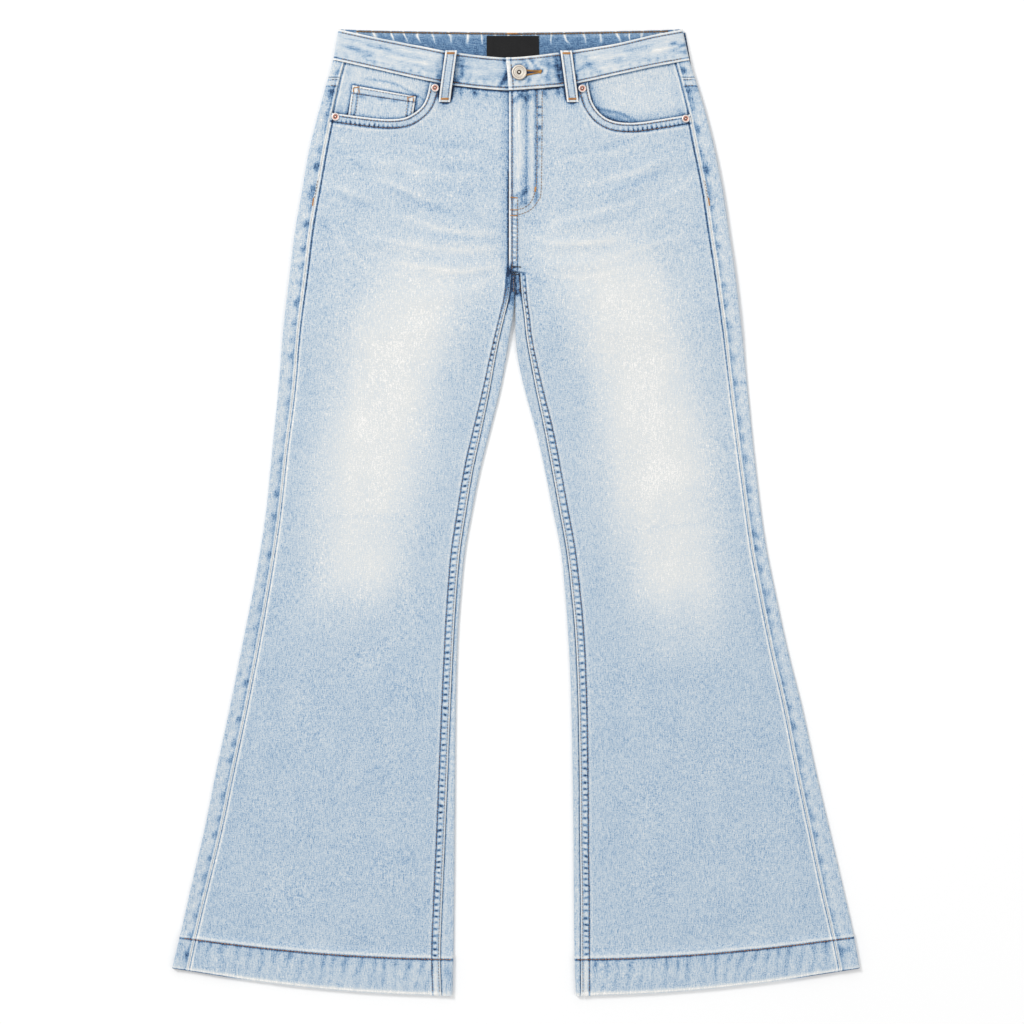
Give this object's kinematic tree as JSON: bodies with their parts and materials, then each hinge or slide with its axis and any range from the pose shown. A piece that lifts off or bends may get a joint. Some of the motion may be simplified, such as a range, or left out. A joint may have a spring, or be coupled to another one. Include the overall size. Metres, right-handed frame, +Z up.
{
  "type": "bootcut jeans",
  "caption": "Light blue denim bootcut jeans laid flat, face up, with a lapped waistband, scooped front pockets and flared legs.",
  "frame": {"origin": "on the surface the jeans lie on, under the middle of their outline seen from above", "axes": "+Y from the hems to the waistband, +X to the right as seen from above, +Z up out of the surface"},
  "size_m": [0.757, 1.064, 0.0134],
  "materials": {
    "denim": "washed cotton twill, matt",
    "band_denim": "washed cotton twill, matt, paler",
    "label_cloth": "smooth woven tape",
    "zip_metal": "satin",
    "button_metal": "satin, pressed rings",
    "rivet_metal": "satin copper"
  },
  "bodies": {
    "root": {"back_left": "denim", "back_right": "denim", "front_left": "denim", "front_right": "denim", "yoke_left": "denim", "yoke_right": "denim", "pocket_facing_left": "denim", "pocket_facing_right": "denim", "coin_pocket": "denim", "back_pocket_left": "denim", "back_pocket_right": "denim", "fly_shield": "denim", "waistband": "band_denim", "belt_loop_centre_back": "band_denim", "belt_loop_front_left": "band_denim", "belt_loop_front_right": "band_denim", "belt_loop_side_left": "band_denim", "belt_loop_side_right": "band_denim", "blank_label": "label_cloth", "fly_zip": "zip_metal", "zip_slider": "zip_metal", "waist_button": "button_metal", "rivet_left_inner": "rivet_metal", "rivet_left_outer": "rivet_metal", "rivet_right_inner": "rivet_metal", "rivet_right_outer": "rivet_metal"}
  },
  "joints": []
}
